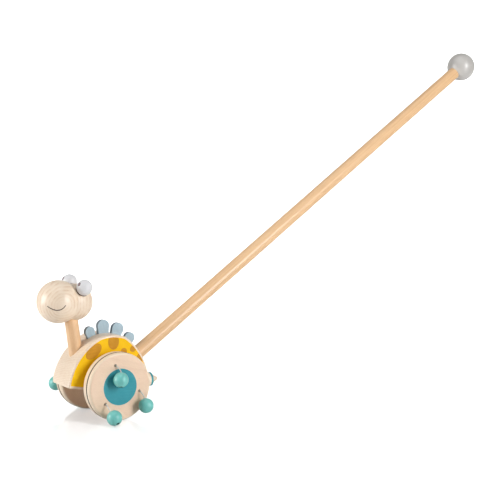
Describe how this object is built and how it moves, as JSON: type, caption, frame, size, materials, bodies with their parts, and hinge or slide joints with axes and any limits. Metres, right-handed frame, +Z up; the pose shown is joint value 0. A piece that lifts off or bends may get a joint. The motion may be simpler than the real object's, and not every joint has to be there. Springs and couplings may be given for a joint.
{
  "type": "push-along animal toy",
  "caption": "Wooden push-along animal on two wheels, with a long push stick and beads on cords that swing and clack against the wheels.",
  "frame": {"origin": "on the floor, midway between the wheels and straight under the axle", "axes": "+X forward towards the animal's face, +Y to its left, +Z up; the push stick rises towards -X"},
  "size_m": [0.6152, 0.1309, 0.4096],
  "materials": {
    "pale_beech": "clear satin lacquer over pale straight-grained beech or maple",
    "rim_beech": "clear satin lacquer, slightly pinker end and face grain",
    "warm_beech": "clear satin lacquer over warm straight-grained dowel",
    "yellow_paint": "satin water-based paint printed on wood",
    "spot_paint": "satin paint over the yellow field",
    "teal_paint": "satin paint on wood",
    "bead_paint": "semi-gloss lacquer on a wooden bead",
    "ball_paint": "semi-gloss warm grey lacquer on a wooden ball",
    "eye_paint": "semi-gloss near-white lacquer on a wooden ball",
    "crest_paint": "matt powder-blue stain on plywood",
    "rubber_ring": "matt dark rubber",
    "cord": "thin braided cord"
  },
  "bodies": {
    "chassis": {"body_block": "pale_beech", "side_paint_left": "yellow_paint", "side_paint_right": "yellow_paint", "spots_left": "spot_paint", "spots_right": "spot_paint", "crest": "crest_paint", "neck": "warm_beech", "head": "pale_beech", "eye_left": "eye_paint", "eye_right": "eye_paint", "tail": "pale_beech", "tail_band": "teal_paint", "push_stick": "warm_beech", "handle_ball": "ball_paint"},
    "wheelset": {"axle": "warm_beech", "wheel_left": "rim_beech", "wheel_right": "rim_beech", "tyre_left": "rubber_ring", "tyre_right": "rubber_ring", "hub_paint_left": "teal_paint", "hub_paint_right": "teal_paint", "spacer_left": "pale_beech", "spacer_right": "pale_beech"},
    "cord_swivel_left_1": {"cord_root_left_1": "cord", "anchor_knot_left_1": "cord"},
    "hanging_bead_left_1": {"cord_left_1": "cord", "bead_left_1": "bead_paint", "bead_knot_left_1": "cord"},
    "cord_swivel_left_2": {"cord_root_left_2": "cord", "anchor_knot_left_2": "cord"},
    "hanging_bead_left_2": {"cord_left_2": "cord", "bead_left_2": "bead_paint", "bead_knot_left_2": "cord"},
    "cord_swivel_left_3": {"cord_root_left_3": "cord", "anchor_knot_left_3": "cord"},
    "hanging_bead_left_3": {"cord_left_3": "cord", "bead_left_3": "bead_paint", "bead_knot_left_3": "cord"},
    "cord_swivel_right_1": {"cord_root_right_1": "cord", "anchor_knot_right_1": "cord"},
    "hanging_bead_right_1": {"cord_right_1": "cord", "bead_right_1": "bead_paint", "bead_knot_right_1": "cord"},
    "cord_swivel_right_2": {"cord_root_right_2": "cord", "anchor_knot_right_2": "cord"},
    "hanging_bead_right_2": {"cord_right_2": "cord", "bead_right_2": "bead_paint", "bead_knot_right_2": "cord"},
    "cord_swivel_right_3": {"cord_root_right_3": "cord", "anchor_knot_right_3": "cord"},
    "hanging_bead_right_3": {"cord_right_3": "cord", "bead_right_3": "bead_paint", "bead_knot_right_3": "cord"}
  },
  "joints": [
    {"name": "wheel_spin", "type": "hinge", "parent": "chassis", "child": "wheelset", "pos_m": [0, 0, 0.035], "axis": [0, 1, 0], "continuous": true},
    {"name": "swing_left_1", "type": "hinge", "parent": "wheelset", "child": "cord_swivel_left_1", "pos_m": [0.00517, 0.0408, 0.05741], "axis": [0, 1, 0], "continuous": true},
    {"name": "flap_left_1", "type": "hinge", "parent": "cord_swivel_left_1", "child": "hanging_bead_left_1", "pos_m": [0.00517, 0.0408, 0.05741], "axis": [0.9923, 0, -0.124], "range_deg": [0, 59]},
    {"name": "swing_left_2", "type": "hinge", "parent": "wheelset", "child": "cord_swivel_left_2", "pos_m": [-0.022, 0.0408, 0.02828], "axis": [0, 1, 0], "continuous": true},
    {"name": "flap_left_2", "type": "hinge", "parent": "cord_swivel_left_2", "child": "hanging_bead_left_2", "pos_m": [-0.022, 0.0408, 0.02828], "axis": [0.9819, 0, -0.1894], "range_deg": [-3.5, 57]},
    {"name": "swing_left_3", "type": "hinge", "parent": "wheelset", "child": "cord_swivel_left_3", "pos_m": [0.01682, 0.0408, 0.01931], "axis": [0, 1, 0], "continuous": true},
    {"name": "flap_left_3", "type": "hinge", "parent": "cord_swivel_left_3", "child": "hanging_bead_left_3", "pos_m": [0.01682, 0.0408, 0.01931], "axis": [0.9875, 0, -0.1573], "range_deg": [-29, 36]},
    {"name": "swing_right_1", "type": "hinge", "parent": "wheelset", "child": "cord_swivel_right_1", "pos_m": [0.02232, -0.0408, 0.04056], "axis": [0, 1, 0], "continuous": true},
    {"name": "flap_right_1", "type": "hinge", "parent": "cord_swivel_right_1", "child": "hanging_bead_right_1", "pos_m": [0.02232, -0.0408, 0.04056], "axis": [-0.9083, 0, -0.4182], "range_deg": [-14, 51]},
    {"name": "swing_right_2", "type": "hinge", "parent": "wheelset", "child": "cord_swivel_right_2", "pos_m": [-0.01598, -0.0408, 0.05155], "axis": [0, 1, 0], "continuous": true},
    {"name": "flap_right_2", "type": "hinge", "parent": "cord_swivel_right_2", "child": "hanging_bead_right_2", "pos_m": [-0.01598, -0.0408, 0.05155], "axis": [-1, 0, 0], "range_deg": [0, 59]},
    {"name": "swing_right_3", "type": "hinge", "parent": "wheelset", "child": "cord_swivel_right_3", "pos_m": [-0.00634, -0.0408, 0.01289], "axis": [0, 1, 0], "continuous": true},
    {"name": "flap_right_3", "type": "hinge", "parent": "cord_swivel_right_3", "child": "hanging_bead_right_3", "pos_m": [-0.00634, -0.0408, 0.01289], "axis": [-1, 0, 0], "range_deg": [-49, 15]}
  ]
}
